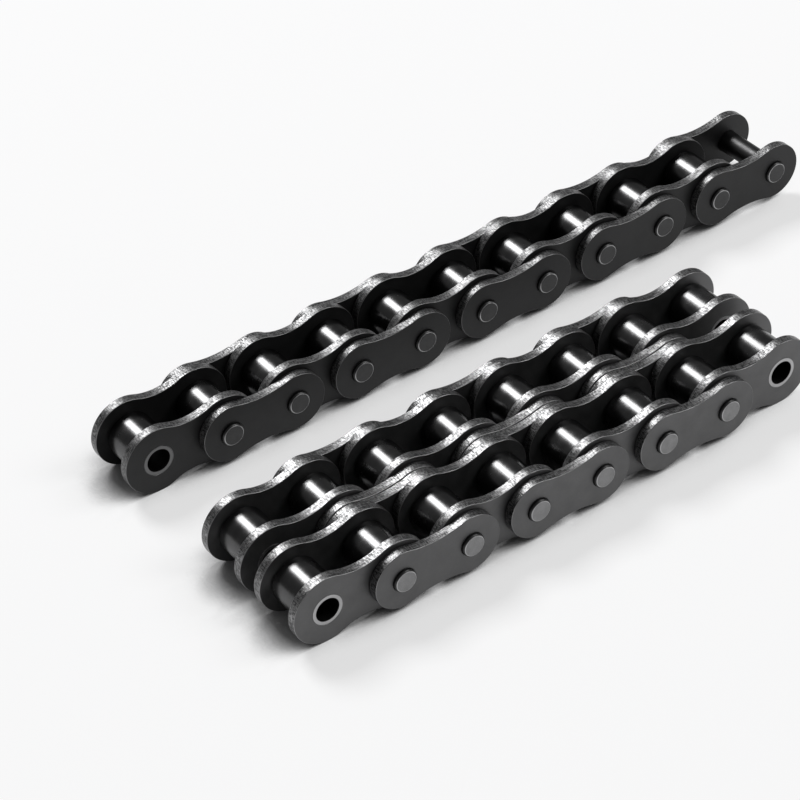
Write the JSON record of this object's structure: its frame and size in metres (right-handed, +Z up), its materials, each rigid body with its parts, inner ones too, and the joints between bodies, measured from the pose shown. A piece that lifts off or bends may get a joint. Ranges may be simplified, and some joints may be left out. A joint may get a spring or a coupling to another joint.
{
  "type": "roller chain",
  "caption": "Length of single-strand and length of double-strand steel roller chain, lying side by side, with waisted link plates, turning rollers and riveted pins.",
  "frame": {"origin": "bottom centre of the bounding box of both chains, on the surface they lie on", "axes": "+X along the chains, away from their empty left-hand bushes; +Y along the pins, from the double chain to the single chain; +Z up"},
  "size_m": [0.1728, 0.076, 0.0151],
  "materials": {
    "inner_plate_steel": "satin black oxide with bright sheared edges",
    "outer_plate_steel": "satin black oxide with bright sheared edges",
    "bush_steel": "smooth hardened steel",
    "roller_steel": "polished dark steel",
    "pin_steel": "ground steel with lightly peened ends"
  },
  "bodies": {
    "double_inner_link_1": {"double_inner_plates_1": "inner_plate_steel", "double_bushes_1": "bush_steel"},
    "double_outer_link_1": {"double_outer_plates_1": "outer_plate_steel", "double_pins_1": "pin_steel"},
    "double_inner_link_2": {"double_inner_plates_2": "inner_plate_steel", "double_bushes_2": "bush_steel"},
    "double_outer_link_2": {"double_outer_plates_2": "outer_plate_steel", "double_pins_2": "pin_steel"},
    "double_inner_link_3": {"double_inner_plates_3": "inner_plate_steel", "double_bushes_3": "bush_steel"},
    "double_outer_link_3": {"double_outer_plates_3": "outer_plate_steel", "double_pins_3": "pin_steel"},
    "double_inner_link_4": {"double_inner_plates_4": "inner_plate_steel", "double_bushes_4": "bush_steel"},
    "double_front_roller_1": {"double_front_roller_1": "roller_steel"},
    "double_front_roller_2": {"double_front_roller_2": "roller_steel"},
    "double_rear_roller_1": {"double_rear_roller_1": "roller_steel"},
    "double_rear_roller_2": {"double_rear_roller_2": "roller_steel"},
    "double_front_roller_3": {"double_front_roller_3": "roller_steel"},
    "double_front_roller_4": {"double_front_roller_4": "roller_steel"},
    "double_rear_roller_3": {"double_rear_roller_3": "roller_steel"},
    "double_rear_roller_4": {"double_rear_roller_4": "roller_steel"},
    "double_front_roller_5": {"double_front_roller_5": "roller_steel"},
    "double_front_roller_6": {"double_front_roller_6": "roller_steel"},
    "double_rear_roller_5": {"double_rear_roller_5": "roller_steel"},
    "double_rear_roller_6": {"double_rear_roller_6": "roller_steel"},
    "double_front_roller_7": {"double_front_roller_7": "roller_steel"},
    "double_front_roller_8": {"double_front_roller_8": "roller_steel"},
    "double_rear_roller_7": {"double_rear_roller_7": "roller_steel"},
    "double_rear_roller_8": {"double_rear_roller_8": "roller_steel"},
    "single_inner_link_1": {"single_inner_plates_1": "inner_plate_steel", "single_bushes_1": "bush_steel"},
    "single_outer_link_1": {"single_outer_plates_1": "outer_plate_steel", "single_pins_1": "pin_steel"},
    "single_inner_link_2": {"single_inner_plates_2": "inner_plate_steel", "single_bushes_2": "bush_steel"},
    "single_outer_link_2": {"single_outer_plates_2": "outer_plate_steel", "single_pins_2": "pin_steel"},
    "single_inner_link_3": {"single_inner_plates_3": "inner_plate_steel", "single_bushes_3": "bush_steel"},
    "single_outer_link_3": {"single_outer_plates_3": "outer_plate_steel", "single_pins_3": "pin_steel"},
    "single_inner_link_4": {"single_inner_plates_4": "inner_plate_steel", "single_bushes_4": "bush_steel"},
    "single_outer_link_4": {"single_outer_plates_4": "outer_plate_steel", "single_pins_4": "pin_steel"},
    "single_inner_link_5": {"single_inner_plates_5": "inner_plate_steel", "single_bushes_5": "bush_steel"},
    "single_outer_link_5": {"single_outer_plates_5": "outer_plate_steel", "single_pins_5": "pin_steel"},
    "single_roller_1": {"single_roller_1": "roller_steel"},
    "single_roller_2": {"single_roller_2": "roller_steel"},
    "single_roller_3": {"single_roller_3": "roller_steel"},
    "single_roller_4": {"single_roller_4": "roller_steel"},
    "single_roller_5": {"single_roller_5": "roller_steel"},
    "single_roller_6": {"single_roller_6": "roller_steel"},
    "single_roller_7": {"single_roller_7": "roller_steel"},
    "single_roller_8": {"single_roller_8": "roller_steel"},
    "single_roller_9": {"single_roller_9": "roller_steel"},
    "single_roller_10": {"single_roller_10": "roller_steel"}
  },
  "joints": [
    {"name": "double_hinge_4", "type": "hinge", "parent": "double_outer_link_2", "child": "double_inner_link_3", "pos_m": [-0.01379, -0.01919, 0.00754], "axis": [0, 1, 0], "range_deg": [-50, 50]},
    {"name": "double_hinge_5", "type": "hinge", "parent": "double_inner_link_3", "child": "double_outer_link_3", "pos_m": [0.00209, -0.01919, 0.00754], "axis": [0, 1, 0], "range_deg": [-50, 50]},
    {"name": "double_hinge_6", "type": "hinge", "parent": "double_outer_link_3", "child": "double_inner_link_4", "pos_m": [0.01796, -0.01919, 0.00754], "axis": [0, 1, 0], "range_deg": [-50, 50]},
    {"name": "double_hinge_3", "type": "hinge", "parent": "double_outer_link_2", "child": "double_inner_link_2", "pos_m": [-0.02966, -0.01919, 0.00754], "axis": [0, 1, 0], "range_deg": [-50, 50]},
    {"name": "double_hinge_2", "type": "hinge", "parent": "double_inner_link_2", "child": "double_outer_link_1", "pos_m": [-0.04554, -0.01919, 0.00754], "axis": [0, 1, 0], "range_deg": [-50, 50]},
    {"name": "double_hinge_1", "type": "hinge", "parent": "double_outer_link_1", "child": "double_inner_link_1", "pos_m": [-0.06141, -0.01919, 0.00754], "axis": [0, 1, 0], "range_deg": [-50, 50]},
    {"name": "single_hinge_5", "type": "hinge", "parent": "single_inner_link_3", "child": "single_outer_link_3", "pos_m": [0.00052, 0.02824, 0.00754], "axis": [0, 1, 0], "range_deg": [-50, 50]},
    {"name": "single_hinge_6", "type": "hinge", "parent": "single_outer_link_3", "child": "single_inner_link_4", "pos_m": [0.01639, 0.02824, 0.00754], "axis": [0, 1, 0], "range_deg": [-50, 50]},
    {"name": "single_hinge_7", "type": "hinge", "parent": "single_inner_link_4", "child": "single_outer_link_4", "pos_m": [0.03227, 0.02824, 0.00754], "axis": [0, 1, 0], "range_deg": [-50, 50]},
    {"name": "single_hinge_8", "type": "hinge", "parent": "single_outer_link_4", "child": "single_inner_link_5", "pos_m": [0.04814, 0.02824, 0.00754], "axis": [0, 1, 0], "range_deg": [-50, 50]},
    {"name": "single_hinge_9", "type": "hinge", "parent": "single_inner_link_5", "child": "single_outer_link_5", "pos_m": [0.06402, 0.02824, 0.00754], "axis": [0, 1, 0], "range_deg": [-50, 50]},
    {"name": "single_hinge_4", "type": "hinge", "parent": "single_inner_link_3", "child": "single_outer_link_2", "pos_m": [-0.01536, 0.02824, 0.00754], "axis": [0, 1, 0], "range_deg": [-50, 50]},
    {"name": "single_hinge_3", "type": "hinge", "parent": "single_outer_link_2", "child": "single_inner_link_2", "pos_m": [-0.03123, 0.02824, 0.00754], "axis": [0, 1, 0], "range_deg": [-50, 50]},
    {"name": "single_hinge_2", "type": "hinge", "parent": "single_inner_link_2", "child": "single_outer_link_1", "pos_m": [-0.04711, 0.02824, 0.00754], "axis": [0, 1, 0], "range_deg": [-50, 50]},
    {"name": "single_hinge_1", "type": "hinge", "parent": "single_outer_link_1", "child": "single_inner_link_1", "pos_m": [-0.06298, 0.02824, 0.00754], "axis": [0, 1, 0], "range_deg": [-50, 50]},
    {"name": "single_chain_lift", "type": "slide", "parent": "double_outer_link_2", "child": "single_inner_link_3", "axis": [0, 0, 1], "range_m": [0, 0.06]},
    {"name": "double_front_roller_1_spin", "type": "hinge", "parent": "double_inner_link_1", "child": "double_front_roller_1", "pos_m": [-0.07729, -0.02824, 0.00754], "axis": [0, 1, 0], "continuous": true},
    {"name": "double_front_roller_2_spin", "type": "hinge", "parent": "double_inner_link_1", "child": "double_front_roller_2", "pos_m": [-0.06141, -0.02824, 0.00754], "axis": [0, 1, 0], "continuous": true},
    {"name": "double_rear_roller_1_spin", "type": "hinge", "parent": "double_inner_link_1", "child": "double_rear_roller_1", "pos_m": [-0.07729, -0.01013, 0.00754], "axis": [0, 1, 0], "continuous": true},
    {"name": "double_rear_roller_2_spin", "type": "hinge", "parent": "double_inner_link_1", "child": "double_rear_roller_2", "pos_m": [-0.06141, -0.01013, 0.00754], "axis": [0, 1, 0], "continuous": true},
    {"name": "double_front_roller_3_spin", "type": "hinge", "parent": "double_inner_link_2", "child": "double_front_roller_3", "pos_m": [-0.04554, -0.02824, 0.00754], "axis": [0, 1, 0], "continuous": true},
    {"name": "double_front_roller_4_spin", "type": "hinge", "parent": "double_inner_link_2", "child": "double_front_roller_4", "pos_m": [-0.02966, -0.02824, 0.00754], "axis": [0, 1, 0], "continuous": true},
    {"name": "double_rear_roller_3_spin", "type": "hinge", "parent": "double_inner_link_2", "child": "double_rear_roller_3", "pos_m": [-0.04554, -0.01013, 0.00754], "axis": [0, 1, 0], "continuous": true},
    {"name": "double_rear_roller_4_spin", "type": "hinge", "parent": "double_inner_link_2", "child": "double_rear_roller_4", "pos_m": [-0.02966, -0.01013, 0.00754], "axis": [0, 1, 0], "continuous": true},
    {"name": "double_front_roller_5_spin", "type": "hinge", "parent": "double_inner_link_3", "child": "double_front_roller_5", "pos_m": [-0.01379, -0.02824, 0.00754], "axis": [0, 1, 0], "continuous": true},
    {"name": "double_front_roller_6_spin", "type": "hinge", "parent": "double_inner_link_3", "child": "double_front_roller_6", "pos_m": [0.00209, -0.02824, 0.00754], "axis": [0, 1, 0], "continuous": true},
    {"name": "double_rear_roller_5_spin", "type": "hinge", "parent": "double_inner_link_3", "child": "double_rear_roller_5", "pos_m": [-0.01379, -0.01013, 0.00754], "axis": [0, 1, 0], "continuous": true},
    {"name": "double_rear_roller_6_spin", "type": "hinge", "parent": "double_inner_link_3", "child": "double_rear_roller_6", "pos_m": [0.00209, -0.01013, 0.00754], "axis": [0, 1, 0], "continuous": true},
    {"name": "double_front_roller_7_spin", "type": "hinge", "parent": "double_inner_link_4", "child": "double_front_roller_7", "pos_m": [0.01796, -0.02824, 0.00754], "axis": [0, 1, 0], "continuous": true},
    {"name": "double_front_roller_8_spin", "type": "hinge", "parent": "double_inner_link_4", "child": "double_front_roller_8", "pos_m": [0.03384, -0.02824, 0.00754], "axis": [0, 1, 0], "continuous": true},
    {"name": "double_rear_roller_7_spin", "type": "hinge", "parent": "double_inner_link_4", "child": "double_rear_roller_7", "pos_m": [0.01796, -0.01013, 0.00754], "axis": [0, 1, 0], "continuous": true},
    {"name": "double_rear_roller_8_spin", "type": "hinge", "parent": "double_inner_link_4", "child": "double_rear_roller_8", "pos_m": [0.03384, -0.01013, 0.00754], "axis": [0, 1, 0], "continuous": true},
    {"name": "single_roller_1_spin", "type": "hinge", "parent": "single_inner_link_1", "child": "single_roller_1", "pos_m": [-0.07886, 0.02824, 0.00754], "axis": [0, 1, 0], "continuous": true},
    {"name": "single_roller_2_spin", "type": "hinge", "parent": "single_inner_link_1", "child": "single_roller_2", "pos_m": [-0.06298, 0.02824, 0.00754], "axis": [0, 1, 0], "continuous": true},
    {"name": "single_roller_3_spin", "type": "hinge", "parent": "single_inner_link_2", "child": "single_roller_3", "pos_m": [-0.04711, 0.02824, 0.00754], "axis": [0, 1, 0], "continuous": true},
    {"name": "single_roller_4_spin", "type": "hinge", "parent": "single_inner_link_2", "child": "single_roller_4", "pos_m": [-0.03123, 0.02824, 0.00754], "axis": [0, 1, 0], "continuous": true},
    {"name": "single_roller_5_spin", "type": "hinge", "parent": "single_inner_link_3", "child": "single_roller_5", "pos_m": [-0.01536, 0.02824, 0.00754], "axis": [0, 1, 0], "continuous": true},
    {"name": "single_roller_6_spin", "type": "hinge", "parent": "single_inner_link_3", "child": "single_roller_6", "pos_m": [0.00052, 0.02824, 0.00754], "axis": [0, 1, 0], "continuous": true},
    {"name": "single_roller_7_spin", "type": "hinge", "parent": "single_inner_link_4", "child": "single_roller_7", "pos_m": [0.01639, 0.02824, 0.00754], "axis": [0, 1, 0], "continuous": true},
    {"name": "single_roller_8_spin", "type": "hinge", "parent": "single_inner_link_4", "child": "single_roller_8", "pos_m": [0.03227, 0.02824, 0.00754], "axis": [0, 1, 0], "continuous": true},
    {"name": "single_roller_9_spin", "type": "hinge", "parent": "single_inner_link_5", "child": "single_roller_9", "pos_m": [0.04814, 0.02824, 0.00754], "axis": [0, 1, 0], "continuous": true},
    {"name": "single_roller_10_spin", "type": "hinge", "parent": "single_inner_link_5", "child": "single_roller_10", "pos_m": [0.06402, 0.02824, 0.00754], "axis": [0, 1, 0], "continuous": true}
  ]
}
